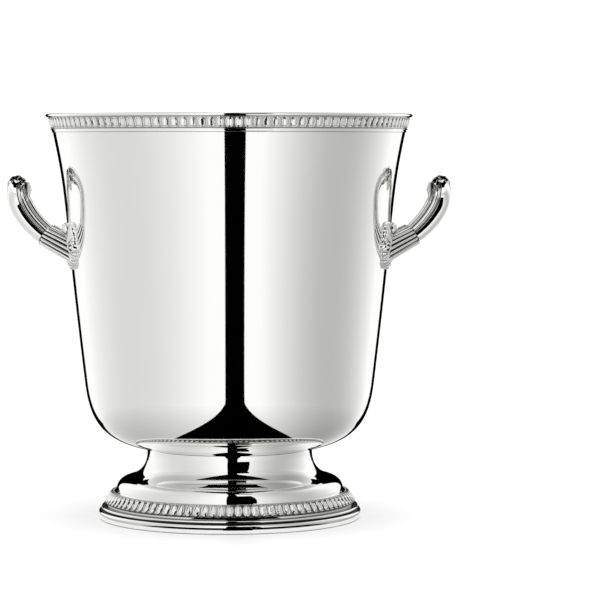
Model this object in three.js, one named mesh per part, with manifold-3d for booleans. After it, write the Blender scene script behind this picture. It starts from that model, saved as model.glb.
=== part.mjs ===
// A silver champagne bucket: a spun bowl on a spun foot, with applied leaf borders at the rim and
// the base, and two cast loop handles, each with two legs soldered to the wall through a fluted
// collar and a leaf plaque. Millimetres, +Z up, standing on z = 0 with its axis on the Z axis.
// The handles stand out along +X and -X.

import * as THREE from 'three';
import * as BufferGeometryUtils from 'three/addons/utils/BufferGeometryUtils.js';
import Module from 'manifold-3d';

const wasm = await Module();
wasm.setup();

// ---------------------------------------------------------------- driving dimensions

// Overall
const overallHeight = 248;
const seamGap = 0.3;          // left between pieces that are soldered face to face
const aroundSegments = 48;    // facets round every turned piece

// Bowl
const bowlWall = 1.2;
const footHeight = 43.1;      // height of the seam between foot and bowl
const neckRadius = 51.2;      // radius of that seam
const seamSlope = 10;         // degrees that the bowl's underside climbs at the seam
const bellyRadius = 89;       // where the round belly runs into the wall
const bellyTop = 84;
const bellyPull = [0.74, 0.59];  // reach of the belly's curve: from the seam as a share of its
                                 // width, from the wall as a share of its height
const wallTaper = 6.8;        // degrees from upright, just above the belly
const lipRadius = 107.9;      // outside radius where the rim's plain band begins
const lipFlare = 12;          // degrees from upright there
const wallPull = [0.75, 0.29];  // reach of the wall's curve from the belly and from the lip, as
                                // shares of the wall's height
const rimFlare = 15;          // degrees from upright, behind the rim's border

// Rim, from the top down
const edgeWireHeight = 2.2;
const edgeWireProud = 1.8;    // how far the edge wire stands out from the bowl's flare
const leafBorderHeight = 6.6;
const leafBorderProud = 1.3;
const plainBandHeight = 2.4;
const plainBandProud = 0.7;

// Foot, from the top down
const footWall = 1.4;
const neckWaist = 0.9;        // how far the neck draws in below the seam
const crestAngle = 78;        // where the neck meets the shoulder, degrees above its centre
const shoulderRadius = 69.8;  // outside radius of the convex shoulder
const shoulderRound = 7.4;
const shoulderFoot = 17.6;    // height of the shoulder's lower edge
const footLeafTop = 16.6;
const footLeafHeight = 7.4;
const footLeafProud = 2.4;
const skirtRadius = 76.2;     // outside radius of the foot's plain skirt, behind its base mouldings
const footWireHeight = 2.4;
const footWireProud = 2.6;
const baseBandHeight = 5.6;
const baseBandProud = 4.4;
const baseRound = 1.6;        // rounding of the base band's outer edges

// Handles
const legSpacing = 51;        // centre to centre of the two legs of one handle
const legWidth = 7.4;
const legDepth = 9.2;         // leg measured inside to outside, at the collar and the crown
const legSwell = 1.2;         // how much deeper it is halfway up
const handleHeight = 165;     // where the collars' axes meet the wall
const collarReach = 21;       // from the wall to the collar's outer end
const collarTilt = 28;        // degrees that the collar climbs outwards
const legTilt = 38;           // degrees that the leg climbs as it leaves the collar
const crownReach = 16.9;      // from the collar's end out to the crown
const crownRise = 30.5;       // from the collar's end up to the crown
const legPull = [11, 13];     // reach of the leg's curve from the collar and from the crown
const archRise = 13;          // how much of the leg's length the arch over the top takes
const tenonLength = 6;
const tenonWidth = 3.6;
const tenonDepth = 5;

// Collars
const collarWidthOuter = 9;
const collarDepthOuter = 11;
const collarWidthInner = 12;
const collarDepthInner = 13;
const reedCount = 14;
const reedDepth = 0.7;

// Leaf plaques
const plaqueWidth = 20.4;
const plaqueHeight = 28.8;
const plaqueRise = 3.4;       // the plaque's middle above the height where the collar meets the wall
const plaqueProud = 4.6;

// Crown clasps and rosettes
const claspSpan = 30;         // across the crown, measured along Y
const claspThickness = 0.9;
const rosetteRadius = 5.2;
const rosetteThickness = 3.2;
const rosetteDrop = 3.6;      // its centre below the crown's centre line

// ---------------------------------------------------------------- helpers

const degrees = Math.PI / 180;
const silver = { color: 0xdcdcda, roughness: 0.08, metalness: 1 };

function toSolid(geometry) {
  geometry.deleteAttribute('uv');
  geometry.deleteAttribute('normal');
  const merged = BufferGeometryUtils.mergeVertices(geometry, 1e-4);
  return new wasm.Manifold(new wasm.Mesh({
    numProp: 3,
    vertProperties: new Float32Array(merged.attributes.position.array),
    triVerts: new Uint32Array(merged.index.array),
  }));
}

function toGeometry(solid) {
  const mesh = solid.getMesh();
  const geometry = new THREE.BufferGeometry();
  geometry.setAttribute('position', new THREE.BufferAttribute(mesh.vertProperties, 3));
  geometry.setIndex(new THREE.BufferAttribute(mesh.triVerts, 1));
  return geometry;
}

// A turned piece: the outline holds (radius, height) points and is turned about +Z.
function turned(outline, segments = aroundSegments) {
  return new THREE.LatheGeometry(outline, segments).rotateX(Math.PI / 2);
}

// A ring of its own: the outline runs up the outside and is closed back to its first point.
function turnedRing(outline) {
  return turned([...outline, outline[0].clone()]);
}

function point(radius, height) {
  return new THREE.Vector2(radius, height);
}

function slope(angle) {
  return new THREE.Vector2(Math.cos(angle * degrees), Math.sin(angle * degrees));
}

// The same outline moved sideways by a distance, to the left of its direction of travel.
function offset(outline, distance) {
  return outline.map((here, i) => {
    const before = outline[Math.max(i - 1, 0)];
    const after = outline[Math.min(i + 1, outline.length - 1)];
    const along = after.clone().sub(before).normalize();
    return point(here.x - along.y * distance, here.y + along.x * distance);
  });
}

// A bar of one section whose every vertex is put in place by a function of (across, deep, along).
function swept(section, steps, place) {
  const bar = new THREE.ExtrudeGeometry(section, {
    depth: 1,
    steps,
    bevelEnabled: false,
    curveSegments: 3,
  });
  const position = bar.attributes.position;
  for (let i = 0; i < position.count; i += 1) {
    const spot = place(position.getX(i), position.getY(i), position.getZ(i));
    position.setXYZ(i, spot.x, spot.y, spot.z);
  }
  return bar;
}

// ---------------------------------------------------------------- bowl

const seam = point(neckRadius, footHeight);
const bellyEnd = point(bellyRadius, bellyTop);
const rimTotal = edgeWireHeight + leafBorderHeight + plainBandHeight;
const lip = point(lipRadius, overallHeight - rimTotal);
const upTaper = slope(90 - wallTaper);
const upFlare = slope(90 - lipFlare);

const belly = new THREE.CubicBezierCurve(
  seam,
  seam.clone().addScaledVector(slope(seamSlope), bellyPull[0] * (bellyRadius - neckRadius)),
  bellyEnd.clone().addScaledVector(upTaper, -bellyPull[1] * (bellyTop - footHeight)),
  bellyEnd,
);
const wallHeight = lip.y - bellyTop;
const wall = new THREE.CubicBezierCurve(
  bellyEnd,
  bellyEnd.clone().addScaledVector(upTaper, wallPull[0] * wallHeight),
  lip.clone().addScaledVector(upFlare, -wallPull[1] * wallHeight),
  lip,
);

// Behind the rim's border the bowl runs on up in a straight flare to its cut edge.
const bowlEdgeHeight = overallHeight - edgeWireHeight / 2;
function flareRadius(height) {
  return lipRadius + (height - lip.y) * Math.tan(rimFlare * degrees);
}

const bowlBottom = footHeight - neckRadius * Math.tan(seamSlope * degrees) / 2;
const underside = new THREE.QuadraticBezierCurve(
  point(0, bowlBottom),
  point(neckRadius / 2, bowlBottom),
  seam,
);
const bowlOutside = [
  ...underside.getPoints(3),
  ...belly.getPoints(7).slice(1),
  ...wall.getPoints(6).slice(1),
  point(flareRadius(bowlEdgeHeight), bowlEdgeHeight),
];

function bowlShell() {
  const inside = offset(bowlOutside, bowlWall);
  inside[0] = point(0, bowlOutside[0].y + bowlWall);
  inside[inside.length - 1].y = bowlEdgeHeight;
  return turned([...bowlOutside, ...inside.reverse()]);
}

// All the room inside the bowl's outer face, grown by the seam gap: what is soldered on is cut by it.
function bowlEnvelope() {
  const grown = offset(bowlOutside, -seamGap);
  grown[0].x = 0;
  return toSolid(turned([...grown, point(0, bowlEdgeHeight)]));
}

function wallRadius(height) {
  for (let i = 1; i < bowlOutside.length; i += 1) {
    const low = bowlOutside[i - 1];
    const high = bowlOutside[i];
    if (height <= high.y) {
      return low.x + (high.x - low.x) * (height - low.y) / (high.y - low.y);
    }
  }
  return bowlOutside[bowlOutside.length - 1].x;
}

// ---------------------------------------------------------------- rim mouldings

const leafBorderTop = overallHeight - edgeWireHeight;
const plainBandTop = leafBorderTop - leafBorderHeight;

// A band that lies on the bowl's flare between two heights; bulge rounds its face.
function rimBand(low, high, proudLow, proudHigh, bulge) {
  const back = [flareRadius(low) + seamGap, flareRadius(high) + seamGap];
  const middle = (low + high) / 2;
  const proudMiddle = (proudLow + proudHigh) / 2 + bulge;
  return turnedRing([
    point(back[0], low),
    point(flareRadius(low) + proudLow, low),
    point(flareRadius(middle) + proudMiddle, middle),
    point(flareRadius(high) + proudHigh, high),
    point(back[1], high),
  ]);
}

function edgeWire() {
  const low = leafBorderTop + seamGap;
  const outer = flareRadius(low) + edgeWireProud;
  const inner = flareRadius(bowlEdgeHeight) - bowlWall - seamGap;
  const corner = edgeWireHeight / 4;
  const backOfBowl = flareRadius(bowlEdgeHeight) + seamGap;
  return turnedRing([
    point(flareRadius(low) + seamGap, low),
    point(outer - corner, low),
    point(outer, low + corner),
    point(outer, overallHeight - corner),
    point(outer - corner, overallHeight),
    point(inner, overallHeight),
    point(inner, bowlEdgeHeight + seamGap),
    point(backOfBowl, bowlEdgeHeight + seamGap),
  ]);
}

// ---------------------------------------------------------------- foot

// The foot's face: a concave neck that runs out nearly level into a convex, quarter-round shoulder.
const footSeam = point(neckRadius - seamGap, footHeight - seamGap);
const shoulderCentre = point(shoulderRadius - shoulderRound, shoulderFoot);
const shoulderCrest = shoulderCentre.clone().addScaledVector(slope(crestAngle), shoulderRound);
const neckWidth = shoulderCrest.x - footSeam.x;
const neckDrop = footSeam.y - shoulderCrest.y;

function footOutside() {
  const neck = new THREE.CubicBezierCurve(
    footSeam,
    point(footSeam.x - neckWaist, footSeam.y - neckDrop * 0.55),
    point(shoulderCrest.x - neckWidth * 0.7, shoulderCrest.y + neckDrop * 0.12),
    shoulderCrest,
  );
  const shoulder = [];
  const shoulderSteps = 3;
  for (let i = 1; i <= shoulderSteps; i += 1) {
    const angle = crestAngle * (1 - i / shoulderSteps);
    shoulder.push(shoulderCentre.clone().addScaledVector(slope(angle), shoulderRound));
  }
  return [...neck.getPoints(6), ...shoulder];
}

const footFace = footOutside();
const skirtTop = point(shoulderRadius + 1.2, footLeafTop);
const skirtBend = point(skirtRadius, footLeafTop - footLeafHeight);
const skirtFoot = seamGap * 2;

function footShell() {
  const outside = [...footFace, skirtTop, skirtBend, point(skirtRadius, skirtFoot)];
  const inside = offset(outside, -footWall);
  inside[0].y = footSeam.y - Math.tan(seamSlope * degrees) * footWall;
  inside[inside.length - 1].y = skirtFoot;
  return turnedRing([...inside, ...outside.reverse()]);
}

const baseBack = skirtRadius + seamGap;

function footLeafRing() {
  const low = skirtBend.y + seamGap;
  const lean = (skirtTop.x - skirtBend.x) / (skirtTop.y - skirtBend.y);
  const back = (height) => skirtBend.x + (height - skirtBend.y) * lean + seamGap * 1.2;
  const high = footLeafTop;
  const middle = (low + high) / 2;
  return turnedRing([
    point(back(low), low),
    point(back(low) + footLeafProud * 0.6, low),
    point(back(middle) + footLeafProud, middle),
    point(back(high) + footLeafProud * 0.5, high),
    point(back(high), high),
  ]);
}

function baseRing(low, high, proud, round) {
  return turnedRing([
    point(baseBack, low),
    point(baseBack + proud - round, low),
    point(baseBack + proud, low + round),
    point(baseBack + proud, high - round),
    point(baseBack + proud - round, high),
    point(baseBack, high),
  ]);
}

// ---------------------------------------------------------------- handles

// Everything below is made for the +X handle, and turned half round for the other one.
const legOffset = legSpacing / 2;
const collarRoot = Math.sqrt(wallRadius(handleHeight) ** 2 - legOffset ** 2);
const collarAxis = slope(collarTilt);
const collarEnd = point(collarRoot, handleHeight).addScaledVector(collarAxis, collarReach);
const crown = point(collarEnd.x + crownReach, collarEnd.y + crownRise);
const legLine = new THREE.CubicBezierCurve(
  collarEnd,
  collarEnd.clone().addScaledVector(slope(legTilt), legPull[0]),
  crown.clone().addScaledVector(slope(92), -legPull[1]),
  crown,
);
const legLength = legLine.getLength();

// The loop seen flat: up one leg, over an elliptical arch, and down the other.
const loopPlan = new THREE.CurvePath();
loopPlan.add(new THREE.LineCurve(point(-legOffset, 0), point(-legOffset, legLength - archRise)));
loopPlan.add(new THREE.EllipseCurve(0, legLength - archRise, legOffset, archRise, Math.PI, 0, true));
loopPlan.add(new THREE.LineCurve(point(legOffset, legLength - archRise), point(legOffset, 0)));

// Where the loop is at a share of its length, with its outward, sideways and lengthwise directions.
function loopFrame(share) {
  const flat = loopPlan.getPointAt(share);
  const heading = loopPlan.getTangentAt(share);
  const climb = THREE.MathUtils.clamp(flat.y / legLength, 0, 1);
  const spot = legLine.getPointAt(climb);
  const rise = legLine.getTangentAt(climb);
  const out = new THREE.Vector3(rise.y, 0, -rise.x);
  const along = new THREE.Vector3(rise.x * heading.y, heading.x, rise.y * heading.y).normalize();
  return {
    centre: new THREE.Vector3(spot.x, flat.x, spot.y),
    out,
    side: new THREE.Vector3().crossVectors(along, out),
    depthScale: 1 + legSwell / legDepth * Math.sin(climb * Math.PI),
  };
}

// The leg's section: round on the outside, with two narrow steps on the inside.
function legSection(grow) {
  const halfDepth = legDepth / 2 + grow;
  const halfWidth = legWidth / 2 + grow;
  const section = new THREE.Shape();
  section.moveTo(-halfDepth, -halfWidth * 0.55);
  section.lineTo(-halfDepth * 0.55, -halfWidth * 0.55);
  section.lineTo(-halfDepth * 0.55, -halfWidth * 0.8);
  section.lineTo(-halfDepth * 0.05, -halfWidth * 0.8);
  section.lineTo(-halfDepth * 0.05, -halfWidth);
  section.absellipse(0, 0, halfDepth, halfWidth, -Math.PI / 2, Math.PI / 2, false);
  section.lineTo(-halfDepth * 0.05, halfWidth);
  section.lineTo(-halfDepth * 0.05, halfWidth * 0.8);
  section.lineTo(-halfDepth * 0.55, halfWidth * 0.8);
  section.lineTo(-halfDepth * 0.55, halfWidth * 0.55);
  section.lineTo(-halfDepth, halfWidth * 0.55);
  return section;
}

// A stretch of bar along the loop, between two shares of its length.
function alongLoop(section, from, to, steps) {
  return swept(section, steps, (deep, wide, t) => {
    const frame = loopFrame(from + (to - from) * t);
    return frame.centre
      .addScaledVector(frame.out, deep * frame.depthScale)
      .addScaledVector(frame.side, wide);
  });
}

// A straight bar on the collar's axis, from one distance along it to another; the wall is at 0.
function onCollarAxis(section, side, from, to, scaleAt) {
  const along = new THREE.Vector3(collarAxis.x, 0, collarAxis.y);
  const out = new THREE.Vector3(collarAxis.y, 0, -collarAxis.x);
  const across = new THREE.Vector3().crossVectors(along, out);
  const root = new THREE.Vector3(collarRoot, side * legOffset, handleHeight);
  return swept(section, 1, (deep, wide, t) => {
    const distance = from + (to - from) * t;
    const scale = scaleAt(distance / collarReach);
    return root.clone()
      .addScaledVector(along, distance)
      .addScaledVector(out, deep * scale.deep)
      .addScaledVector(across, wide * scale.wide);
  });
}

const evenScale = () => ({ deep: 1, wide: 1 });

function rectangle(deep, wide) {
  const shape = new THREE.Shape();
  shape.moveTo(-deep / 2, -wide / 2);
  shape.lineTo(deep / 2, -wide / 2);
  shape.lineTo(deep / 2, wide / 2);
  shape.lineTo(-deep / 2, wide / 2);
  return shape;
}

function tenon(side, grow) {
  const section = rectangle(tenonDepth + grow * 2, tenonWidth + grow * 2);
  return toSolid(onCollarAxis(section, side, collarReach - tenonLength - grow, collarReach + 2, evenScale));
}

function handleLoop() {
  const gapShare = seamGap / loopPlan.getLength();
  let loop = toSolid(alongLoop(legSection(0), gapShare, 1 - gapShare, 28));
  for (const side of [-1, 1]) {
    loop = loop.subtract(collarBlank(side, seamGap)).add(tenon(side, 0));
  }
  return loop;
}

// The collar's section is an oval of half-round reeds, one unit deep and wide.
function reededSection(grow) {
  const corners = [];
  const stepsPerReed = 3;
  const count = reedCount * stepsPerReed;
  for (let i = 0; i < count; i += 1) {
    const angle = i / count * 2 * Math.PI;
    const groove = i % stepsPerReed === 0 ? reedDepth : 0;
    const deep = (collarDepthOuter / 2 - groove + grow) * Math.cos(angle);
    const wide = (collarWidthOuter / 2 - groove + grow) * Math.sin(angle);
    corners.push(point(deep, wide));
  }
  return new THREE.Shape(corners);
}

function collarScale(share) {
  return {
    deep: THREE.MathUtils.lerp(collarDepthInner / collarDepthOuter, 1, share),
    wide: THREE.MathUtils.lerp(collarWidthInner / collarWidthOuter, 1, share),
  };
}

function collarBlank(side, grow) {
  const bar = onCollarAxis(reededSection(grow), side, -collarReach * 0.4, collarReach + grow, collarScale);
  return toSolid(bar);
}

function collar(side, envelope) {
  return collarBlank(side, 0).subtract(envelope).subtract(tenon(side, seamGap));
}

// The plaque's outline: a rounded shell at the top, drawn in to a leaf's point at the bottom.
function plaqueOutline() {
  const half = plaqueWidth / 2;
  const top = plaqueHeight / 2;
  const outline = new THREE.Shape();
  outline.moveTo(0, -top);
  outline.bezierCurveTo(half * 0.35, -top * 0.75, half * 0.95, -top * 0.55, half, -top * 0.1);
  outline.bezierCurveTo(half, top * 0.2, half * 0.62, top * 0.3, half * 0.62, top * 0.55);
  outline.bezierCurveTo(half * 0.62, top * 0.85, half * 0.3, top, 0, top);
  outline.bezierCurveTo(-half * 0.3, top, -half * 0.62, top * 0.85, -half * 0.62, top * 0.55);
  outline.bezierCurveTo(-half * 0.62, top * 0.3, -half, top * 0.2, -half, -top * 0.1);
  outline.bezierCurveTo(-half * 0.95, -top * 0.55, -half * 0.35, -top * 0.75, 0, -top);
  return outline;
}

function plaque(side, envelope) {
  const middle = handleHeight + plaqueRise;
  const radius = wallRadius(middle);
  const azimuth = Math.asin(legOffset / wallRadius(handleHeight)) * side;
  const place = new THREE.Matrix4().makeRotationZ(azimuth)
    .multiply(new THREE.Matrix4().makeTranslation(radius, 0, middle))
    .multiply(new THREE.Matrix4().makeRotationY(wallTaper * degrees));
  const prism = new THREE.ExtrudeGeometry(plaqueOutline(), {
    depth: plaqueProud * 4,
    bevelEnabled: false,
    curveSegments: 4,
  });
  prism.translate(0, 0, -plaqueProud * 2);
  prism.applyMatrix4(new THREE.Matrix4().makeBasis(
    new THREE.Vector3(0, 1, 0),
    new THREE.Vector3(0, 0, 1),
    new THREE.Vector3(1, 0, 0),
  ));
  const dome = new THREE.SphereGeometry(1, 14, 8);
  dome.scale(plaqueProud, plaqueWidth * 0.62, plaqueHeight * 0.6);
  return toSolid(prism.applyMatrix4(place))
    .intersect(toSolid(dome.applyMatrix4(place)))
    .subtract(envelope)
    .subtract(collarBlank(side, seamGap));
}

function crownClasp() {
  const arcShare = claspSpan / 2 / loopPlan.getLength();
  const past = 0.02;
  const steps = 8;
  const sleeve = toSolid(alongLoop(legSection(seamGap + claspThickness), 0.5 - arcShare, 0.5 + arcShare, steps));
  const inside = toSolid(alongLoop(legSection(seamGap), 0.5 - arcShare - past, 0.5 + arcShare + past, steps));
  return sleeve.subtract(inside);
}

function rosette() {
  const outline = [
    point(0, 0),
    point(rosetteRadius * 0.8, 0),
    point(rosetteRadius, rosetteThickness * 0.25),
    point(rosetteRadius * 0.95, rosetteThickness * 0.55),
    point(rosetteRadius * 0.5, rosetteThickness * 0.8),
    point(rosetteRadius * 0.35, rosetteThickness),
    point(0, rosetteThickness),
  ];
  const button = turned(outline, 16);
  const frame = loopFrame(0.5);
  const innerFace = legDepth / 2 + seamGap + claspThickness;
  button.rotateY(-Math.PI / 2);
  button.translate(
    frame.centre.x - innerFace - seamGap,
    0,
    frame.centre.z - rosetteDrop,
  );
  return button;
}

// ---------------------------------------------------------------- assembly

const bucket = new THREE.Group();

function addPiece(parent, name, geometry) {
  const mesh = new THREE.Mesh(geometry, new THREE.MeshStandardMaterial(silver));
  mesh.name = name;
  parent.add(mesh);
}

addPiece(bucket, 'bowl', bowlShell());
addPiece(bucket, 'rim_edge_wire', edgeWire());
addPiece(bucket, 'rim_leaf_border', rimBand(
  plainBandTop + seamGap,
  leafBorderTop,
  leafBorderProud * 0.8,
  leafBorderProud,
  leafBorderProud * 0.1,
));
addPiece(bucket, 'rim_plain_band', rimBand(
  lip.y,
  plainBandTop,
  plainBandProud * 0.7,
  plainBandProud,
  0,
));
addPiece(bucket, 'foot_pedestal', footShell());
addPiece(bucket, 'foot_leaf_border', footLeafRing());
addPiece(bucket, 'foot_fillet_wire', baseRing(
  baseBandHeight + seamGap,
  baseBandHeight + footWireHeight,
  footWireProud,
  footWireHeight * 0.35,
));
addPiece(bucket, 'foot_base_band', baseRing(0, baseBandHeight, baseBandProud, baseRound));

const envelope = bowlEnvelope();
const sides = [['front', -1], ['back', 1]];
for (const [handle, turn] of [['right', 0], ['left', Math.PI]]) {
  const group = new THREE.Group();
  group.rotation.z = turn;
  bucket.add(group);
  addPiece(group, `${handle}_handle_loop`, toGeometry(handleLoop()));
  addPiece(group, `${handle}_crown_clasp`, toGeometry(crownClasp()));
  addPiece(group, `${handle}_rosette`, rosette());
  for (const [place, side] of sides) {
    const facing = turn === 0 ? side : -side;
    addPiece(group, `${handle}_${place}_collar`, toGeometry(collar(facing, envelope)));
    addPiece(group, `${handle}_${place}_leaf_plaque`, toGeometry(plaque(facing, envelope)));
  }
}

export default bucket;
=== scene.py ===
import math

import bpy
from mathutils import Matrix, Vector
from mathutils.geometry import interpolate_bezier


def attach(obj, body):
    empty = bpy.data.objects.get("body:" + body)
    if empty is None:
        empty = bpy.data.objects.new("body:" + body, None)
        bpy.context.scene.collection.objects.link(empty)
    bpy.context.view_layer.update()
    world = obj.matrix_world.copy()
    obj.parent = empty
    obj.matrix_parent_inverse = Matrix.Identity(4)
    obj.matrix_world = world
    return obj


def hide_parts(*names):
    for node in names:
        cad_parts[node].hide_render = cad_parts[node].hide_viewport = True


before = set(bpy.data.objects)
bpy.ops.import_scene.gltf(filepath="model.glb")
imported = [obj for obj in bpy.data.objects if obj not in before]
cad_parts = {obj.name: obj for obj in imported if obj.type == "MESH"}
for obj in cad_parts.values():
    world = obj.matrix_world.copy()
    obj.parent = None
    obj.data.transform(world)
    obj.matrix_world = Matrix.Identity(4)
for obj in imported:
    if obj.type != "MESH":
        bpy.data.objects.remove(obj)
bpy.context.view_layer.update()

# ---------------------------------------------------------------- silver
# Every piece is nickel silver, silver plated. Turned faces are buffed to a mirror; the cast ornament is
# polished on its high parts only and is rougher in its recesses. Painted shade: the silver's colour is
# darkened to near black in recesses, hollows and moulding corners, where shade falls.

MM = 0.001


def add_nodes(tree, *kinds):
    return [tree.nodes.new(kind) for kind in kinds]


def maths(tree, operation, *values):
    node = tree.nodes.new("ShaderNodeMath")
    node.operation = operation
    for socket, value in zip(node.inputs, values):
        if isinstance(value, bpy.types.NodeSocket):
            tree.links.new(value, socket)
        else:
            socket.default_value = value
    return node.outputs[0]


def new_group(name, inputs, outputs):
    group = bpy.data.node_groups.new(name, "ShaderNodeTree")
    for title, kind, value in inputs:
        socket = group.interface.new_socket(title, in_out="INPUT", socket_type=kind)
        if value is not None:
            socket.default_value = value
    for title, kind in outputs:
        group.interface.new_socket(title, in_out="OUTPUT", socket_type=kind)
    return group, group.nodes.new("NodeGroupInput"), group.nodes.new("NodeGroupOutput")


# Buffing: broad, faint smears of polish, with hair-fine lines that run round the bucket.
buffing, given, result = new_group(
    "Buffing",
    [("Position", "NodeSocketVector", None), ("Roughness", "NodeSocketFloat", 0.04),
     ("Smears", "NodeSocketFloat", 0.02), ("Lines", "NodeSocketFloat", 0.02)],
    [("Roughness", "NodeSocketFloat"), ("Height", "NodeSocketFloat")])
split, smears, lines, joined = add_nodes(
    buffing, "ShaderNodeSeparateXYZ", "ShaderNodeTexNoise", "ShaderNodeTexNoise", "ShaderNodeCombineXYZ")
smears.inputs["Scale"].default_value = 28
smears.inputs["Detail"].default_value = 5
lines.inputs["Scale"].default_value = 1
lines.inputs["Detail"].default_value = 3
buffing.links.new(given.outputs["Position"], smears.inputs["Vector"])
buffing.links.new(given.outputs["Position"], split.inputs[0])
turn_angle = maths(buffing, "ARCTAN2", split.outputs["Y"], split.outputs["X"])
buffing.links.new(maths(buffing, "MULTIPLY", turn_angle, 9.0), joined.inputs["X"])
buffing.links.new(maths(buffing, "MULTIPLY", split.outputs["Z"], 2600.0), joined.inputs["Z"])
buffing.links.new(joined.outputs[0], lines.inputs["Vector"])
smear_part = maths(buffing, "MULTIPLY", smears.outputs["Fac"], given.outputs["Smears"])
line_part = maths(buffing, "MULTIPLY", lines.outputs["Fac"], given.outputs["Lines"])
both = maths(buffing, "ADD", smear_part, line_part)
buffing.links.new(maths(buffing, "ADD", both, given.outputs["Roughness"]), result.inputs["Roughness"])
buffing.links.new(lines.outputs["Fac"], result.inputs["Height"])

# Painted shade: a near-black colour mixed into the silver where the recess attribute says a point lies
# deep, standing for the shade there, broken up by a little mottling.
recess_shade, given, result = new_group(
    "Painted recess shade",
    [("Position", "NodeSocketVector", None), ("Recess", "NodeSocketFloat", 0.0),
     ("Bright", "NodeSocketColor", (0.93, 0.93, 0.92, 1)),
     ("Painted shade color", "NodeSocketColor", (0.05, 0.05, 0.048, 1))],
    [("Color", "NodeSocketColor"), ("Mask", "NodeSocketFloat")])
mottle, blend, limits = add_nodes(recess_shade, "ShaderNodeTexNoise", "ShaderNodeMix", "ShaderNodeMapRange")
mottle.inputs["Scale"].default_value = 900
mottle.inputs["Detail"].default_value = 3
blend.data_type = "RGBA"
limits.inputs["From Min"].default_value = 0.35
limits.inputs["From Max"].default_value = 1.15
recess_shade.links.new(given.outputs["Position"], mottle.inputs["Vector"])
spread = maths(recess_shade, "MULTIPLY", mottle.outputs["Fac"], 0.4)
recess_shade.links.new(maths(recess_shade, "ADD", spread, given.outputs["Recess"]), limits.inputs["Value"])
recess_shade.links.new(limits.outputs[0], blend.inputs[0])
recess_shade.links.new(given.outputs["Bright"], blend.inputs[6])
recess_shade.links.new(given.outputs["Painted shade color"], blend.inputs[7])
recess_shade.links.new(blend.outputs[2], result.inputs["Color"])
recess_shade.links.new(limits.outputs[0], result.inputs["Mask"])


def silver(name, roughness, smears, lines):
    material = bpy.data.materials.new(name)
    material.use_nodes = True
    tree = material.node_tree
    shader = tree.nodes["Principled BSDF"]
    shader.inputs["Metallic"].default_value = 1
    place, polish, bump = add_nodes(tree, "ShaderNodeTexCoord", "ShaderNodeGroup", "ShaderNodeBump")
    polish.node_tree = buffing
    polish.inputs["Roughness"].default_value = roughness
    polish.inputs["Smears"].default_value = smears
    polish.inputs["Lines"].default_value = lines
    bump.inputs["Strength"].default_value = 0.03
    bump.inputs["Distance"].default_value = 0.00002
    tree.links.new(place.outputs["Object"], polish.inputs["Position"])
    tree.links.new(polish.outputs["Height"], bump.inputs["Height"])
    tree.links.new(bump.outputs["Normal"], shader.inputs["Normal"])
    # Painted shade: the recess attribute darkens the silver's colour towards near black.
    depth, painted_shade = add_nodes(tree, "ShaderNodeAttribute", "ShaderNodeGroup")
    depth.attribute_name = "recess"
    painted_shade.node_tree = recess_shade
    tree.links.new(place.outputs["Object"], painted_shade.inputs["Position"])
    tree.links.new(depth.outputs["Fac"], painted_shade.inputs["Recess"])
    tree.links.new(painted_shade.outputs["Color"], shader.inputs["Base Color"])
    duller = maths(tree, "MULTIPLY", painted_shade.outputs["Mask"], 0.25)
    total = maths(tree, "ADD", polish.outputs["Roughness"], duller)
    tree.links.new(total, shader.inputs["Roughness"])
    return material


mirror_silver = silver("Mirror-polished silver", 0.015, 0.02, 0.012)
chased_silver = silver("Chased silver", 0.06, 0.04, 0.02)
FINISHES = {"polished_silver": mirror_silver, "chased_silver": chased_silver}


def hand_over(piece, node, slot, angle=30):
    """Shade a finished piece, give it its silver, and let it stand for its CAD node."""
    bpy.ops.object.select_all(action="DESELECT")
    piece.select_set(True)
    bpy.context.view_layer.objects.active = piece
    bpy.ops.object.shade_smooth_by_angle(angle=math.radians(angle))
    piece.data.materials.clear()
    piece.data.materials.append(FINISHES[slot])
    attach(piece, "root")
    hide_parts(node)


def start(name, primitive, **sizes):
    """Add one primitive, named, and open it in edit mode with all of it selected."""
    bpy.ops.object.select_all(action="DESELECT")
    primitive(**sizes)
    piece = bpy.context.object
    piece.name = name
    bpy.ops.object.mode_set(mode="EDIT")
    bpy.ops.mesh.select_all(action="SELECT")
    return piece


def close_up(tolerance=0.002):
    """Merge doubled points, turn the faces outward and leave edit mode."""
    bpy.ops.mesh.select_all(action="SELECT")
    bpy.ops.mesh.remove_doubles(threshold=tolerance * MM)
    bpy.ops.mesh.normals_make_consistent(inside=False)
    bpy.ops.object.mode_set(mode="OBJECT")


def turned(name, outline, around=256):
    """Draw an outline of (radius, height) in mm point by point, and spin it about the bucket's axis."""
    piece = start(name, bpy.ops.mesh.primitive_plane_add, size=MM)
    bpy.ops.mesh.merge(type="CENTER")
    bpy.ops.transform.translate(value=(outline[0][0] * MM, 0, outline[0][1] * MM))
    for here, there in zip(outline, outline[1:]):
        step = ((there[0] - here[0]) * MM, 0, (there[1] - here[1]) * MM)
        bpy.ops.mesh.extrude_vertices_move(TRANSFORM_OT_translate={"value": step})
    bpy.ops.mesh.select_all(action="SELECT")
    bpy.ops.mesh.spin(steps=around, angle=2 * math.pi, center=(0, 0, 0), axis=(0, 0, 1))
    close_up()
    return piece


def slope(angle):
    return Vector((math.cos(math.radians(angle)), math.sin(math.radians(angle))))


def curve(first, pull_first, pull_last, last, steps):
    points = interpolate_bezier(*(Vector((*p, 0)) for p in (first, pull_first, pull_last, last)), steps + 1)
    return [Vector((p.x, p.y)) for p in points]


def arc(centre, radius, start_angle, end_angle, steps):
    angles = [start_angle + (end_angle - start_angle) * i / steps for i in range(steps + 1)]
    return [Vector(centre) + slope(angle) * radius for angle in angles]


def smooth(value, low, high):
    share = min(max((value - low) / (high - low), 0), 1)
    return share * share * (3 - 2 * share)


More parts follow.
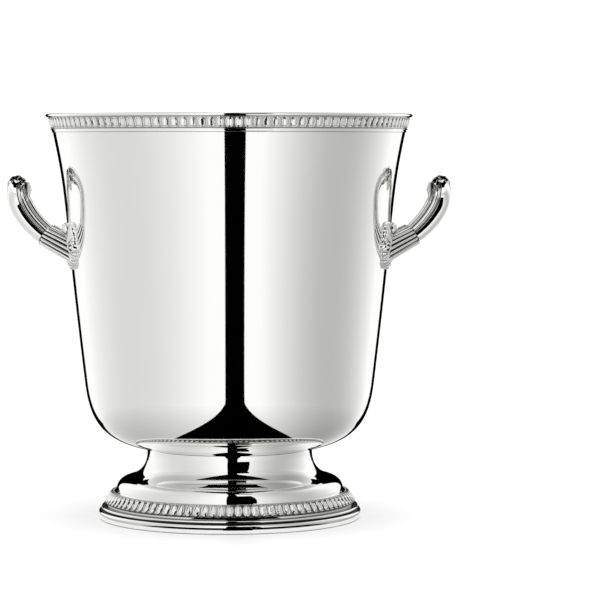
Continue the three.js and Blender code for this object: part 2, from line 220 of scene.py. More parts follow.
def mark_recesses(piece, depth_of):
    """Store how deep each point lies in the ornament, from 0 on the high parts to 1 in the ground; the
    silver paints shade into the deep points by it.
    """
    recess = piece.data.attributes.new("recess", "FLOAT", "POINT")
    for spot, value in zip(piece.data.vertices, recess.data):
        value.value = depth_of(spot.co / MM)


def mark_hollows(piece, deepest):
    """Store how far each point lies below its neighbours, reaching 1 at a depth in mm; the silver paints
    shade into these hollows by it.
    """
    recess = piece.data.attributes.new("recess", "FLOAT", "POINT")
    spots = piece.data.vertices
    pull = [Vector() for _ in spots]
    count = [0] * len(spots)
    for edge in piece.data.edges:
        first, last = edge.vertices
        pull[first] += spots[last].co - spots[first].co
        pull[last] += spots[first].co - spots[last].co
        count[first] += 1
        count[last] += 1
    for spot, total, number, value in zip(spots, pull, count, recess.data):
        value.value = 1.1 * smooth(total.dot(spot.normal) / number / MM, 0, deepest)


def mark_quirks(piece, low, high, width):
    """Paint shade into the corners where a moulding's edges meet its neighbours; an infinite one is free.
    """
    mark_recesses(piece, lambda spot: 1.1 - 1.1 * smooth(min(spot.z - low, high - spot.z), 0, width))


# ---------------------------------------------------------------- bowl
# The bowl is spun from one sheet over a wooden former: a round belly that rises into a long wall,
# which tapers outward and flares at the lip. It is burnished inside and out.

SEAM = Vector((51.2, 43.1))
BELLY_END = Vector((89, 84))
LIP = Vector((107.9, 236.8))
BOWL_EDGE = 246.9
BOWL_WALL = 1.2
bowl_bottom = SEAM.y - SEAM.x * math.tan(math.radians(10)) / 2
wall_height = LIP.y - BELLY_END.y


def flare_radius(height):
    return LIP.x + (height - LIP.y) * math.tan(math.radians(15))


underside = curve(
    (0, bowl_bottom), (SEAM.x / 3, bowl_bottom),
    (SEAM.x * 2 / 3, bowl_bottom + (SEAM.y - bowl_bottom) / 3), SEAM, 8)
belly = curve(
    SEAM, SEAM + slope(10) * 0.74 * (BELLY_END.x - SEAM.x),
    BELLY_END - slope(83.2) * 0.59 * (BELLY_END.y - SEAM.y), BELLY_END, 40)
wall = curve(
    BELLY_END, BELLY_END + slope(83.2) * 0.75 * wall_height,
    LIP - slope(78) * 0.29 * wall_height, LIP, 48)
bowl_face = underside + belly[1:] + wall[1:] + [Vector((flare_radius(BOWL_EDGE), BOWL_EDGE))]
bowl_inside = []
for i, here in enumerate(bowl_face):
    along = (bowl_face[min(i + 1, len(bowl_face) - 1)] - bowl_face[max(i - 1, 0)]).normalized()
    bowl_inside.append(here + Vector((-along.y, along.x)) * BOWL_WALL)
bowl_inside[0].x = 0
bowl_inside[-1].y = BOWL_EDGE


def wall_radius(height):
    for low, high in zip(bowl_face, bowl_face[1:]):
        if height <= high.y:
            return low.x + (high.x - low.x) * (height - low.y) / (high.y - low.y)
    return bowl_face[-1].x


bowl = turned("Bowl", bowl_face + bowl_inside[::-1], 320)
hand_over(bowl, "bowl", "polished_silver")

# ---------------------------------------------------------------- rim
# A drawn wire is soldered over the bowl's cut edge. Under it runs a stamped border of upright
# leaves with darts between them, and under that a plain band with a fillet along each edge.

RIM_TOP = 248
WIRE_LOW = 246.1
LEAVES_LOW = 239.5
LEAVES_HIGH = 245.8
RIM_LEAVES = 126

wire_out = flare_radius(WIRE_LOW) + 1.7
wire_in = flare_radius(BOWL_EDGE) - BOWL_WALL - 0.3
edge_wire = turned("Rim_edge_wire", [
    (flare_radius(WIRE_LOW) + 0.2, WIRE_LOW),
    (wire_out - 0.7, WIRE_LOW),
    *arc((wire_out - 0.75, WIRE_LOW + 0.95), 0.95, -60, 90, 10),
    *arc((wire_in + 0.6, RIM_TOP - 0.6), 0.6, 90, 180, 5),
    (wire_in, BOWL_EDGE + 0.15),
    (flare_radius(BOWL_EDGE) + 0.2, BOWL_EDGE + 0.15),
    (flare_radius(WIRE_LOW) + 0.2, WIRE_LOW),
])
# Painted shade: the wire is darkened along its lower edge, where it sits on the leaf border.
mark_quirks(edge_wire, WIRE_LOW, math.inf, 0.4)
hand_over(edge_wire, "rim_edge_wire", "polished_silver")


def leaf(name, half_width, half_height, relief):
    """One waterleaf facing -Y with its round end up: a raised arch round a ribbed blade."""
    piece = start(
        name, bpy.ops.mesh.primitive_circle_add, vertices=12, radius=MM, fill_type="NGON",
        rotation=(math.pi / 2, 0, 0))
    bpy.ops.object.mode_set(mode="OBJECT")
    for spot in piece.data.vertices:
        x, z = spot.co.x / MM, spot.co.y / MM
        x = math.copysign(abs(x) ** 0.75, x)
        if z < 0:
            x *= 1 + 0.12 * z
            z = -abs(z) ** 0.6
        spot.co = Vector((x * half_width, z * half_height, 0)) * MM
    bpy.ops.object.mode_set(mode="EDIT")
    bpy.ops.mesh.select_all(action="SELECT")
    bpy.ops.mesh.extrude_region_move(TRANSFORM_OT_translate={"value": (0, -0.5 * relief * MM, 0)})
    for thickness, depth in ((0.3, 0.22), (0.28, -0.55), (0.3, 0.1), (0.35, 0.45)):
        bpy.ops.mesh.inset(thickness=thickness * MM, depth=depth * relief * MM)
    bpy.ops.transform.resize(value=(0.3, 1, 1))
    bpy.ops.object.mode_set(mode="OBJECT")
    return piece


def round_the_bucket(piece, tilt, radius, height, count):
    """Lean a -Y tile back, move it to its place on the ring, and repeat it right round."""
    piece.rotation_euler.x += math.radians(tilt)
    piece.location = (0, -radius * MM, height * MM)
    bpy.ops.object.transform_apply(location=True, rotation=True, scale=True)
    bpy.ops.object.mode_set(mode="EDIT")
    bpy.ops.mesh.select_all(action="SELECT")
    turn = 2 * math.pi * (count - 1) / count
    bpy.ops.mesh.spin(steps=count - 1, dupli=True, angle=turn, center=(0, 0, 0), axis=(0, 0, 1))
    bpy.ops.object.mode_set(mode="OBJECT")


def dart(name, half_width, half_height, proud):
    """A thin upright bar with a ridge, drawn to a point at its lower end."""
    piece = start(name, bpy.ops.mesh.primitive_cube_add, size=2 * MM)
    bpy.ops.transform.resize(value=(half_width, proud, half_height))
    bpy.ops.object.mode_set(mode="OBJECT")
    for spot in piece.data.vertices:
        if spot.co.y < 0:
            spot.co.x *= 0.25
        if spot.co.z < 0:
            spot.co.x *= 0.4
    return piece


def join(name, *parts):
    bpy.ops.object.select_all(action="DESELECT")
    for part in parts:
        part.select_set(True)
    bpy.context.view_layer.objects.active = parts[0]
    bpy.ops.object.join()
    parts[0].name = name
    return parts[0]


rim_middle = (LEAVES_LOW + LEAVES_HIGH) / 2
rim_ground = turned("Rim_leaf_border", [
    (flare_radius(LEAVES_LOW) + 0.2, LEAVES_LOW),
    (flare_radius(LEAVES_LOW) + 0.3, LEAVES_LOW),
    (flare_radius(LEAVES_HIGH) + 0.3, LEAVES_HIGH),
    (flare_radius(LEAVES_HIGH) + 0.2, LEAVES_HIGH),
    (flare_radius(LEAVES_LOW) + 0.2, LEAVES_LOW),
])
rim_leaves = leaf("Rim_leaves", 2.42, 3.1, 0.65)
round_the_bucket(rim_leaves, 15, flare_radius(rim_middle) + 0.25, rim_middle, RIM_LEAVES)
rim_darts = dart("Rim_darts", 0.34, 3.0, 0.4)
rim_darts.rotation_euler.z = math.pi / RIM_LEAVES
bpy.ops.object.transform_apply(location=True, rotation=True, scale=True)
round_the_bucket(rim_darts, 15, flare_radius(rim_middle) + 0.3, rim_middle, RIM_LEAVES)
rim_leaf_border = join("Rim_leaf_border", rim_ground, rim_leaves, rim_darts)
# Painted shade: the ground behind the leaves and darts is darkened.
mark_recesses(rim_leaf_border, lambda spot: 0.62 - 0.62 * smooth(
    math.hypot(spot.x, spot.y) - flare_radius(spot.z), 0.25, 0.7))
hand_over(rim_leaf_border, "rim_leaf_border", "chased_silver")

band_low = LIP.y
band_high = LEAVES_LOW - 0.3
plain_band = turned("Rim_plain_band", [
    (flare_radius(band_low) + 0.2, band_low),
    *arc((flare_radius(band_low) + 0.35, band_low + 0.35), 0.35, -90, 60, 5),
    (flare_radius(band_low + 0.9) + 0.3, band_low + 0.95),
    (flare_radius(band_high - 0.9) + 0.35, band_high - 0.85),
    *arc((flare_radius(band_high) + 0.35, band_high - 0.42), 0.42, -60, 90, 6),
    (flare_radius(band_high) + 0.2, band_high),
    (flare_radius(band_low) + 0.2, band_low),
])
# Painted shade: both edges of the band are darkened, as the shadow lines against the leaves above and the
# wall below.
mark_quirks(plain_band, band_low, band_high, 0.5)
hand_over(plain_band, "rim_plain_band", "polished_silver")

# ---------------------------------------------------------------- foot
# The foot is spun hollow: a concave neck soldered under the bowl, a rounded shoulder and a skirt.
# Leaves, round ends down, lie on the skirt's slope above a drawn wire and a heavy moulded base band.

FOOT_SEAM = Vector((50.9, 42.9))
SHOULDER = Vector((62.4, 17.6))
SHOULDER_ROUND = 7.4
FOOT_WALL = 1.4
FOOT_LEAVES = 95
SKIRT_TOP = Vector((71, 16.6))
SKIRT_BEND = Vector((76.2, 9.2))
SKIRT_LOW = 0.6
SKIRT_LEAN = (SKIRT_BEND.x - SKIRT_TOP.x) / (SKIRT_TOP.y - SKIRT_BEND.y)
crest = SHOULDER + slope(78) * SHOULDER_ROUND
neck_width = crest.x - FOOT_SEAM.x
neck_drop = FOOT_SEAM.y - crest.y
neck = curve(
    FOOT_SEAM, (FOOT_SEAM.x - 0.9, FOOT_SEAM.y - neck_drop * 0.55),
    (crest.x - neck_width * 0.7, crest.y + neck_drop * 0.12), crest, 28)
shoulder = arc(SHOULDER, SHOULDER_ROUND, 78, 0, 14)
foot_face = neck + shoulder[1:] + [
    Vector((69.9, 16.8)), SKIRT_TOP, SKIRT_BEND, Vector((SKIRT_BEND.x, SKIRT_LOW))]
foot_inside = []
for i, here in enumerate(foot_face):
    along = (foot_face[min(i + 1, len(foot_face) - 1)] - foot_face[max(i - 1, 0)]).normalized()
    foot_inside.append(here + Vector((along.y, -along.x)) * FOOT_WALL)
foot_inside[-1].y = SKIRT_LOW
foot_outline = foot_face + foot_inside[::-1]
pedestal = turned("Foot_pedestal", foot_outline + foot_outline[:1], 256)
hand_over(pedestal, "foot_pedestal", "polished_silver")

foot_tilt = math.degrees(math.atan(SKIRT_LEAN))


def skirt_radius(height):
    return SKIRT_BEND.x + (SKIRT_BEND.y - height) * SKIRT_LEAN


foot_ground = turned("Foot_leaf_border", [
    (skirt_radius(9.6) + 0.3, 9.6),
    (skirt_radius(9.6) + 0.9, 9.6),
    *arc((skirt_radius(10.6) + 0.2, 10.4), 0.9, -50, 20, 4),
    (skirt_radius(13) + 1.35, 13),
    (skirt_radius(15.6) + 0.95, 15.6),
    *arc((skirt_radius(16.2) + 0.75, 16.2), 0.5, 10, 100, 4),
    (skirt_radius(16.6) + 0.3, 16.6),
    (skirt_radius(9.6) + 0.3, 9.6),
])
foot_leaves = leaf("Foot_leaves", 2.12, 3.7, 1)
foot_leaves.rotation_euler.y = math.pi
bpy.ops.object.transform_apply(location=True, rotation=True, scale=True)
round_the_bucket(foot_leaves, -foot_tilt, skirt_radius(13) + 1.3, 13.1, FOOT_LEAVES)
foot_darts = dart("Foot_darts", 0.36, 3.5, 0.6)
foot_darts.rotation_euler.z = math.pi / FOOT_LEAVES
bpy.ops.object.transform_apply(location=True, rotation=True, scale=True)
round_the_bucket(foot_darts, -foot_tilt, skirt_radius(13) + 1.35, 13.1, FOOT_LEAVES)
foot_leaf_border = join("Foot_leaf_border", foot_ground, foot_leaves, foot_darts)
# Painted shade: the ground behind the leaves and darts is darkened.
mark_recesses(foot_leaf_border, lambda spot: 0.62 - 0.62 * smooth(
    math.hypot(spot.x, spot.y) - skirt_radius(spot.z), 1.3, 2.0))
hand_over(foot_leaf_border, "foot_leaf_border", "chased_silver")

BASE_BACK = 76.5
BASE_HIGH = 5.6
FILLET_LOW = 5.8
FILLET_HIGH = 8.0
fillet_round = (FILLET_HIGH - FILLET_LOW) / 2
fillet_wire = turned("Foot_fillet_wire", [
    (BASE_BACK, FILLET_LOW),
    (BASE_BACK + 1.6, FILLET_LOW),
    *arc((BASE_BACK + 1.5, FILLET_LOW + fillet_round), fillet_round, -90, 90, 12),
    (BASE_BACK, FILLET_HIGH),
    (BASE_BACK, FILLET_LOW),
])
# Painted shade: the wire is darkened along both edges, where it meets the base band and the leaf border.
mark_quirks(fillet_wire, FILLET_LOW, FILLET_HIGH, 0.5)
hand_over(fillet_wire, "foot_fillet_wire", "polished_silver")

base_band = turned("Foot_base_band", [
    (BASE_BACK, 0),
    (BASE_BACK + 3.0, 0),
    *arc((BASE_BACK + 2.7, 1.7), 1.7, -80, 0, 8),
    *arc((BASE_BACK + 2.8, 4.0), 1.6, 0, 90, 10),
    (BASE_BACK, BASE_HIGH),
    (BASE_BACK, 0),
])
# Painted shade: the band is darkened along its foot on the table and along its top under the fillet wire.
mark_quirks(base_band, 0, BASE_HIGH, 0.35)
hand_over(base_band, "foot_base_band", "polished_silver")

# ---------------------------------------------------------------- handles
# Each handle is cast: two moulded legs rise from reeded collars and meet in an arch at the crown.
# They are soldered to the wall, so nothing moves. Leaf plaques cover the joints.

LEG_OFFSET = 25.5
HANDLE_HEIGHT = 165
COLLAR_REACH = 21
HALF_DEPTH = 4.6
HALF_WIDTH = 3.7
ARCH_RISE = 13
collar_root = math.sqrt(wall_radius(HANDLE_HEIGHT) ** 2 - LEG_OFFSET ** 2)
collar_axis = slope(28)
collar_end = Vector((collar_root, HANDLE_HEIGHT)) + collar_axis * COLLAR_REACH
crown = collar_end + Vector((16.9, 30.5))
leg_line = curve(collar_end, collar_end + slope(38) * 11, crown - slope(92) * 13, crown, 120)
leg_lengths = [0]
for low, high in zip(leg_line, leg_line[1:]):
    leg_lengths.append(leg_lengths[-1] + (high - low).length)
LEG_LENGTH = leg_lengths[-1]

# The loop laid flat, as (sideways, lengthwise) points: up one leg, over an arch, down the other.
loop_plan = [Vector((-LEG_OFFSET, (LEG_LENGTH - ARCH_RISE) * i / 30)) for i in range(30)]
for i in range(61):
    angle = math.pi * (1 - i / 60)
    loop_plan.append(Vector((
        LEG_OFFSET * math.cos(angle), LEG_LENGTH - ARCH_RISE + ARCH_RISE * math.sin(angle))))
loop_plan += [Vector((LEG_OFFSET, (LEG_LENGTH - ARCH_RISE) * (1 - i / 30))) for i in range(1, 31)]
plan_lengths = [0]
for here, there in zip(loop_plan, loop_plan[1:]):
    plan_lengths.append(plan_lengths[-1] + (there - here).length)
LOOP_LENGTH = plan_lengths[-1]


def along_line(line, lengths, distance):
    """The point and the direction at a distance along a polyline."""
    distance = min(max(distance, 0), lengths[-1])
    i = next((i for i, length in enumerate(lengths[1:]) if length >= distance), len(line) - 2)
    share = (distance - lengths[i]) / (lengths[i + 1] - lengths[i])
    before = line[max(i - 1, 0)]
    after = line[min(i + 2, len(line) - 1)]
    return line[i].lerp(line[i + 1], share), (after - before).normalized()


def on_loop(distance, deep, wide):
    """A point of the loop in mm: distance along it, deep outwards and wide sideways."""
    flat, heading = along_line(loop_plan, plan_lengths, distance)
    spot, rise = along_line(leg_line, leg_lengths, flat.y)
    out = Vector((rise.y, 0, -rise.x))
    along = Vector((rise.x * heading.y, heading.x, rise.y * heading.y)).normalized()
    swell = 1 + 0.13 * math.sin(min(flat.y / LEG_LENGTH, 1) * math.pi)
    return Vector((spot.x, flat.x, spot.y)) + out * deep * swell + along.cross(out) * wide


def tube(name, around, steps, place, capped):
    """A cylinder drawn out ring by ring, then bent: place(turn, share) gives each point in mm."""
    piece = start(
        name, bpy.ops.mesh.primitive_circle_add, vertices=around, radius=1,
        fill_type="NGON" if capped else "NOTHING")
    for _ in range(steps):
        if capped:
            bpy.ops.mesh.extrude_region_move(TRANSFORM_OT_translate={"value": (0, 0, 1)})
        else:
            bpy.ops.mesh.extrude_edges_move(TRANSFORM_OT_translate={"value": (0, 0, 1)})
    bpy.ops.object.mode_set(mode="OBJECT")
    for spot in piece.data.vertices:
        turn = math.atan2(spot.co.x, spot.co.y) / (2 * math.pi) % 1
        spot.co = place(round(turn * around) % around, spot.co.z / steps) * MM
    bpy.ops.object.mode_set(mode="EDIT")
    close_up(0.0005)
    return piece


# The leg's moulding, as (depth, width) shares: a narrow back, two beads, a flat side, a round front.
half_section = [
    *curve((-1, 0), (-1, 0.4), (-0.88, 0.42), (-0.68, 0.44), 5),
    *curve((-0.66, 0.56), (-0.63, 0.64), (-0.55, 0.62), (-0.51, 0.62), 3),
    *curve((-0.49, 0.7), (-0.45, 0.8), (-0.37, 0.77), (-0.355, 0.64), 4),
    (-0.32, 0.62), (-0.3, 0.7), (-0.29, 0.9), (-0.27, 0.972),
    *curve((-0.25, 0.9755), (-0.12, 0.985), (0.02, 0.9945), (0.12, 0.999), 8),
    *curve((0.12, 0.999), (0.62, 0.94), (1, 0.57), (1, 0), 18)[1:],
]
section = half_section + [(deep, -wide) for deep, wide in half_section[-2:0:-1]]


def loop_point(corner, share):
    deep, wide = section[corner]
    return on_loop(LOOP_LENGTH * share, deep * HALF_DEPTH, wide * HALF_WIDTH)


# Collars: an oval of fourteen long reeds, each rounded off at its outer end.
REEDS = 14
REED_STEPS = 10
REED_PROUD = 1.25
REED_END = 1.4
COLLAR_DEEP = 4.7
COLLAR_WIDE = 3.8
COLLAR_SPREAD = 1.5
COLLAR_SUNK = 3


def collar_point(side, corner, share):
    angle = 2 * math.pi * corner / (REEDS * REED_STEPS)
    reach = -COLLAR_SUNK + (COLLAR_REACH + COLLAR_SUNK + 0.2) * share ** 0.7
    grow = 1 - min(max(reach / COLLAR_REACH, 0), 1)
    deep = COLLAR_DEEP + grow
    wide = COLLAR_WIDE + COLLAR_SPREAD * grow
    across = (corner % REED_STEPS) / REED_STEPS * 2 - 1
    past = max(reach - (COLLAR_REACH - REED_END), 0) / REED_END
    height = REED_PROUD * math.sqrt(max(1 - (across / 0.68) ** 2 - past ** 2, 0))
    shrink = 1 - 0.05 * past ** 4
    along = Vector((collar_axis.x, 0, collar_axis.y))
    out = Vector((collar_axis.y, 0, -collar_axis.x))
    root = Vector((collar_root, side * LEG_OFFSET, HANDLE_HEIGHT))
    return (root + along * reach + out * (deep * shrink + height) * math.cos(angle)
            + Vector((0, 1, 0)) * (wide * shrink + height) * math.sin(angle))


def collar_depth(side):
    along = Vector((collar_axis.x, 0, collar_axis.y))
    out = Vector((collar_axis.y, 0, -collar_axis.x))
    root = Vector((collar_root, side * LEG_OFFSET, HANDLE_HEIGHT))

    def depth_of(spot):
        local = spot - root
        grow = 1 - min(max(local.dot(along) / COLLAR_REACH, 0), 1)
        oval = math.hypot(
            local.dot(out) / (COLLAR_DEEP + grow), local.y / (COLLAR_WIDE + COLLAR_SPREAD * grow))
        return 1.2 - 1.2 * smooth((oval - 1) * 4.3, 0.15, 0.85)
    return depth_of


# Plaques: a ribbed shell above the collar, a scroll on each side, and a pointed leaf below.
PLAQUE_LOW = 153.8
PLAQUE_HIGH = 182.7
PLAQUE_COLUMNS = 60
PLAQUE_ROWS = 96
PLAQUE_HALF = 8.6
KNOB_HEIGHT = 24.6
KNOB_RADIUS = 3.6


def plaque_half_width(share):
    """Half the plaque's width at a share of its height, with its scalloped edge."""
    if share > 0.55:
        arch = math.sqrt(max(1 - ((share - 0.55) / 0.45) ** 2, 0))
        return PLAQUE_HALF * arch ** 0.8 + 0.5 * abs(math.sin(share * 26)) * arch
    if share > 0.38:
        return PLAQUE_HALF + 1.6 * math.sin((0.55 - share) / 0.17 * math.pi)
    taper = share / 0.38
    return PLAQUE_HALF * taper ** 0.75 + 0.55 * abs(math.sin(share * 34)) * math.sqrt(taper)


def plaque_relief(w, h):
    """Height of the relief at w mm sideways and h mm above the plaque's tip."""
    share = h / (PLAQUE_HIGH - PLAQUE_LOW)
    half = max(plaque_half_width(share), 0.01)
    edge = max(1 - (w / half) ** 2, 0)
    dome = 3.7 * edge ** 0.5 * (0.6 + 0.4 * math.sin(math.pi * min(max(share, 0), 1)))
    if share > 0.52:
        fan = math.atan2(w, h - 12.5)
        dome += 1.1 * abs(math.cos(fan * 5.5)) ** 0.7 * edge ** 0.3 * smooth(share, 0.52, 0.62)
        knob = 1 - math.hypot(w, h - KNOB_HEIGHT) ** 2 / KNOB_RADIUS ** 2
        dome = max(dome, 2.6 + 3.4 * math.sqrt(max(knob, 0))) if knob > 0 else dome
    elif share < 0.4:
        dome += 0.8 * abs(math.cos((h + 0.9 * abs(w)) * 1.15)) * edge ** 0.3
        dome += 1.0 * math.exp(-(w / 0.55) ** 2) * smooth(share, 0.0, 0.1)
    for eye in (-7.1, 7.1):
        ring = math.hypot(w - eye, h - 13.6)
        dome += 1.4 * math.exp(-((ring - 2.3) / 0.55) ** 2) + 1.6 * math.exp(-(ring / 0.8) ** 2)
    return dome


def plaque(name, side):
    piece = start(
        name, bpy.ops.mesh.primitive_grid_add, x_subdivisions=PLAQUE_COLUMNS,
        y_subdivisions=PLAQUE_ROWS, size=2)
    bpy.ops.object.mode_set(mode="OBJECT")
    azimuth = math.asin(LEG_OFFSET / wall_radius(HANDLE_HEIGHT)) * side
    for spot in piece.data.vertices:
        share = (spot.co.y + 1) / 2
        w = math.sin(spot.co.x * math.pi / 2) * max(plaque_half_width(share), 0.05)
        h = share * (PLAQUE_HIGH - PLAQUE_LOW)
        proud = plaque_relief(w, h) + 0.1 if abs(spot.co.x) < 0.999 and 0.001 < share < 0.999 else -0.2
        radius = wall_radius(PLAQUE_LOW + h)
        angle = azimuth + w / radius
        spot.co = Vector((
            (radius + proud) * math.cos(angle), (radius + proud) * math.sin(angle), PLAQUE_LOW + h)) * MM
    bpy.ops.object.mode_set(mode="EDIT")
    close_up()
    thicken(piece, 0.5)
    return piece


def thicken(piece, thickness):
    """Give a sheet its thickness on its inner side."""
    bpy.ops.object.modifier_add(type="SOLIDIFY")
    piece.modifiers[-1].thickness = thickness * MM
    piece.modifiers[-1].offset = -1
    bpy.ops.object.modifier_apply(modifier=piece.modifiers[-1].name)


# Clasps: a leafy sleeve round the crown. Its two ends are cut into leaf points between the legs.
CLASP_AROUND = 96
CLASP_STEPS = 40


def clasp_point(corner, share):
    angle = 2 * math.pi * corner / CLASP_AROUND
    lobe = abs(math.cos(angle * 3.5))
    half_span = 10.5 + 4.8 * lobe ** 0.8 - 1.8 * math.cos(angle) ** 2
    along = (share * 2 - 1) * half_span
    end = 1 - abs(share * 2 - 1)
    vein = 0.3 * lobe ** 3 + 0.22 * abs(math.sin(along * 1.5 + 2.2 * lobe))
    tie = 0.75 * math.exp(-(along / 1.1) ** 2)
    grow = 0.2 + (0.2 + vein) * smooth(end, 0, 0.12) + tie
    deep = (HALF_DEPTH + grow) * math.cos(angle)
    wide = (HALF_WIDTH + grow) * math.sin(angle)
    return on_loop(LOOP_LENGTH / 2 + along, deep, wide)


def ball(name, middle, sizes, segments=14, rings=9):
    piece = start(
        name, bpy.ops.mesh.primitive_uv_sphere_add, segments=segments, ring_count=rings, radius=MM)
    bpy.ops.transform.resize(value=sizes)
    bpy.ops.transform.translate(value=Vector(middle) * MM)
    bpy.ops.object.mode_set(mode="OBJECT")
    return piece


def rosette(name):
    """Eight petals and eight smaller ones between them round a boss, on the crown's inner side."""
    face = crown.x - HALF_DEPTH - 1.2
    height = crown.y - 3.6
    parts = [ball(name, (face - 0.4, 0, height), (1.1, 4.4, 4.4), 24, 9)]
    parts.append(ball("Boss", (face - 2.0, 0, height), (1.1, 1.35, 1.35)))
    for size, reach, ahead, phase in ((1.5, 3.4, 1.1, 0), (1.0, 2.4, 1.6, 22.5)):
        petal = ball("Petal", (face - ahead, 0, height + reach), (0.75, size * 0.75, size))
        bpy.ops.object.mode_set(mode="EDIT")
        bpy.ops.mesh.select_all(action="SELECT")
        middle = Vector((face, 0, height)) * MM
        if phase:
            bpy.ops.mesh.spin(
                steps=1, dupli=True, angle=math.radians(phase), center=middle, axis=(1, 0, 0))
        bpy.ops.mesh.select_all(action="SELECT")
        bpy.ops.mesh.spin(
            steps=7, dupli=True, angle=math.radians(315), center=middle, axis=(1, 0, 0))
        bpy.ops.object.mode_set(mode="OBJECT")
        parts.append(petal)
    return join(name, *parts)


for handle, turn in (("right", 0), ("left", math.pi)):
    made = []
    loop = tube(f"{handle.title()}_handle_loop", len(section), 150, loop_point, True)
    # Painted shade in the hollows between the loop's beads.
    mark_hollows(loop, 0.06)
    made.append((loop, f"{handle}_handle_loop", "polished_silver", 35))
    clasp = tube(f"{handle.title()}_crown_clasp", CLASP_AROUND, CLASP_STEPS, clasp_point, False)
    thicken(clasp, 0.3)
    # Painted shade in the clasp's veins and hollows.
    mark_hollows(clasp, 0.08)
    made.append((clasp, f"{handle}_crown_clasp", "chased_silver", 40))
    flower = rosette(f"{handle.title()}_rosette")
    # Painted shade: the rosette darkens towards its back, against the crown.
    mark_recesses(flower, lambda spot: smooth(spot.x, crown.x - 7.2, crown.x - 5.9))
    made.append((flower, f"{handle}_rosette", "chased_silver", 40))
    for end, side in (("front", -1), ("back", 1)):
        facing = side if turn == 0 else -side
        collar = tube(
            f"{handle.title()}_{end}_collar", REEDS * REED_STEPS, 26,
            lambda corner, share: collar_point(facing, corner, share), True)
        # Painted shade between the reeds, down at the collar's core.
        mark_recesses(collar, collar_depth(facing))
        made.append((collar, f"{handle}_{end}_collar", "chased_silver", 40))
        leafy = plaque(f"{handle.title()}_{end}_leaf_plaque", facing)
        # Painted shade in the plaque's hollows.
        mark_hollows(leafy, 0.05)
        made.append((leafy, f"{handle}_{end}_leaf_plaque", "chased_silver", 50))
    for piece, node, slot, angle in made:
        bpy.ops.object.select_all(action="DESELECT")
        piece.select_set(True)
        bpy.context.view_layer.objects.active = piece
        piece.rotation_euler.z = turn
        bpy.ops.object.transform_apply(location=True, rotation=True, scale=True)
        hand_over(piece, node, slot, angle)

# ---------------------------------------------------------------- studio
# A pale floor under an even white sky. A white tent with a dark gap at the camera and two dark
# strips behind stands round the bucket; only the silver's reflections see it.


def stage_object(piece, material, only_reflected=False):
    piece.data.materials.append(material)
    if only_reflected:
        piece.visible_camera = False
        piece.visible_diffuse = False
        piece.visible_shadow = False
        piece.visible_transmission = False
        piece.visible_volume_scatter = False


world = bpy.context.scene.world or bpy.data.worlds.new("Studio")
bpy.context.scene.world = world
world.use_nodes = True
world.node_tree.nodes["Background"].inputs["Color"].default_value = (1, 1, 1, 1)
world.node_tree.nodes["Background"].inputs["Strength"].default_value = 1.12

floor_white = bpy.data.materials.new("Floor white")
floor_white.use_nodes = True
floor_white.node_tree.nodes["Principled BSDF"].inputs["Base Color"].default_value = (0.98, 0.98, 0.98, 1)
floor_white.node_tree.nodes["Principled BSDF"].inputs["Roughness"].default_value = 0.9
floor = start("Floor", bpy.ops.mesh.primitive_plane_add, size=400)
bpy.ops.object.mode_set(mode="OBJECT")
stage_object(floor, floor_white)

tent = turned("Reflection_tent", [(84, 2), (5000, 2), (5000, 6000), (2500, 9000)], 96)
tent_white = bpy.data.materials.new("Tent")
tent_white.use_nodes = True
tree = tent_white.node_tree
tree.nodes.clear()
place, split, reach, painted_foot_shadow, glow, out = add_nodes(
    tree, "ShaderNodeTexCoord", "ShaderNodeSeparateXYZ", "ShaderNodeVectorMath",
    "ShaderNodeMapRange", "ShaderNodeEmission", "ShaderNodeOutputMaterial")
tree.links.new(place.outputs["Object"], split.inputs[0])
backwards = maths(tree, "MULTIPLY", split.outputs["Y"], -1.0)
bearing = maths(tree, "ARCTAN2", split.outputs["X"], backwards)


def away_from(value, middle):
    """How far a bearing lies from a middle one given in degrees."""
    return maths(tree, "ABSOLUTE", maths(tree, "SUBTRACT", value, math.radians(middle)))


def grey_flat(middle, half_width, depth):
    """What a grey flat takes off the tent's white: most at its middle, nothing at its edges."""
    share = maths(tree, "DIVIDE", away_from(bearing, middle), math.radians(half_width))
    rise = maths(tree, "MULTIPLY", maths(tree, "MINIMUM", share, 1.0), math.pi / 2)
    return maths(tree, "MULTIPLY", maths(tree, "COSINE", rise), depth)


def outside(value, middle, half_width):
    """1 outside a dark band and 0 in it."""
    return maths(tree, "GREATER_THAN", away_from(value, middle), math.radians(half_width))


# Bearings are in degrees from the camera, positive to the right.
TENT_WHITE = 1.05
GAP_MIDDLE = 3.5
GAP_HALF = 6.5
STRIP_MIDDLE = 167
STRIP_HALF = 11
greys = maths(tree, "ADD", grey_flat(-72, 58, 0.31), grey_flat(76, 55, 0.53))
white = maths(tree, "SUBTRACT", TENT_WHITE, greys)
gap = outside(bearing, GAP_MIDDLE, GAP_HALF)
strips = outside(maths(tree, "ABSOLUTE", bearing), STRIP_MIDDLE, STRIP_HALF)
tone = maths(tree, "MULTIPLY", white, maths(tree, "MULTIPLY", gap, strips))
# Painted shadow: the tent's table glows less towards the foot, where the bucket shades the table.
reach.operation = "LENGTH"
painted_foot_shadow.inputs["From Min"].default_value = 0.1
painted_foot_shadow.inputs["From Max"].default_value = 0.24
painted_foot_shadow.inputs["To Min"].default_value = 0.72
tree.links.new(place.outputs["Object"], reach.inputs[0])
tree.links.new(reach.outputs["Value"], painted_foot_shadow.inputs["Value"])
glow.inputs["Color"].default_value = (1, 1, 1, 1)
tree.links.new(maths(tree, "MULTIPLY", tone, painted_foot_shadow.outputs[0]), glow.inputs["Strength"])
tree.links.new(glow.outputs[0], out.inputs["Surface"])
stage_object(tent, tent_white, only_reflected=True)

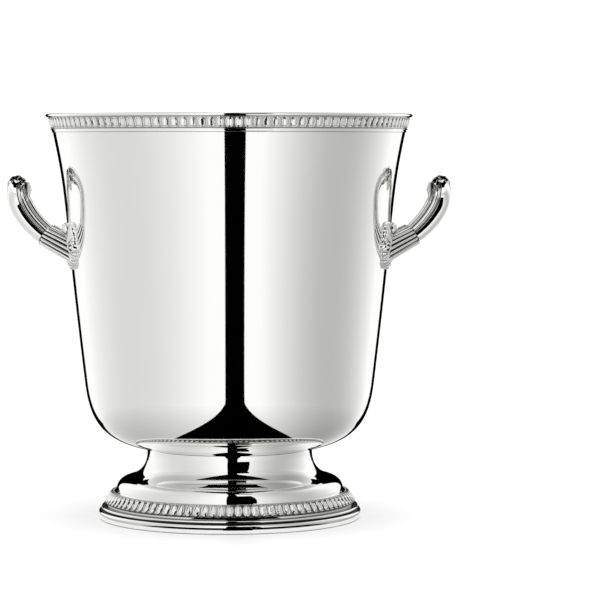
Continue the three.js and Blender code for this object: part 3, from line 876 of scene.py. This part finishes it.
card_black = bpy.data.materials.new("Card")
card_black.use_nodes = True
card_black.node_tree.nodes["Principled BSDF"].inputs["Base Color"].default_value = (0, 0, 0, 1)
card_black.node_tree.nodes["Principled BSDF"].inputs["Specular IOR Level"].default_value = 0
CARD_HEIGHT = 2.6


def black_card(name, corners, turn=0):
    """A black card laid out corner by corner in mm, then turned about the bucket's axis."""
    card = start(
        name, bpy.ops.mesh.primitive_circle_add, vertices=len(corners), radius=MM, fill_type="NGON")
    bpy.ops.object.mode_set(mode="OBJECT")
    for spot, corner in zip(card.data.vertices, corners):
        spot.co = Vector(corner) * MM
    card.rotation_euler.z = math.radians(turn)
    bpy.ops.object.transform_apply(location=True, rotation=True, scale=True)
    stage_object(card, card_black, only_reflected=True)


def at_bearing(bearing, reach, height):
    angle = math.radians(bearing)
    return reach * math.sin(angle), -reach * math.cos(angle), height


# The front card, seen only in reflections, stands for the dark gap at the camera; where it flares out
# towards the foot it is painted shadow, the shade on the table under the bowl. It is cut round the foot.
card_side = curve((28, -330), (22, -190), (56, -140), (60, -58), 14)
card_edge = arc((0, 0), 83, -47, -133, 12)
card_mirror = [Vector((-spot.x, spot.y)) for spot in reversed(card_side)]
card_corners = [(*spot, CARD_HEIGHT) for spot in card_side + card_edge + card_mirror]
black_card("Front_card", card_corners, GAP_MIDDLE)
for side, name in ((-1, "Left"), (1, "Right")):
    black_card(f"{name}_strip", [
        (4 * side, 120, CARD_HEIGHT), (150 * side, 120, CARD_HEIGHT),
        (2300 * side, 4900, CARD_HEIGHT), (170 * side, 4900, CARD_HEIGHT)])
# Beyond the table the gap is wider to the right, up to this bearing.
WIDE_GAP = 27
NEAR_END = 1200
FAR_END = 4500
GAP_TOP = 5500
black_card("Gap_floor", [
    at_bearing(9, NEAR_END, CARD_HEIGHT), at_bearing(WIDE_GAP, NEAR_END, CARD_HEIGHT),
    at_bearing(WIDE_GAP, FAR_END, CARD_HEIGHT), at_bearing(9, FAR_END, CARD_HEIGHT)])
black_card("Gap_upright", [
    at_bearing(-3.5, FAR_END, CARD_HEIGHT), at_bearing(WIDE_GAP, FAR_END, CARD_HEIGHT),
    at_bearing(WIDE_GAP, FAR_END, GAP_TOP), at_bearing(-3.5, FAR_END, GAP_TOP)])

fill = bpy.data.lights.new("Soft_light", "AREA")
fill.shape = "DISK"
fill.size = 2.5
fill.energy = 12
soft_light = bpy.data.objects.new("Soft_light", fill)
bpy.context.collection.objects.link(soft_light)
soft_light.location = (0.3, -0.6, 2.2)
soft_light.visible_glossy = False

CAMERA_DISTANCE = 1.66
CAMERA_HEIGHT = 0.231
camera_data = bpy.data.cameras.new("Camera")
camera_data.lens = 162
camera_data.sensor_width = 36
camera_data.dof.use_dof = False
camera = bpy.data.objects.new("Camera", camera_data)
bpy.context.collection.objects.link(camera)
camera.location = (0, -CAMERA_DISTANCE, CAMERA_HEIGHT)
camera.rotation_euler = (math.radians(90 - 3.35), 0, -math.radians(1.496))
bpy.context.scene.camera = camera
bpy.context.scene.view_settings.view_transform = "Standard"
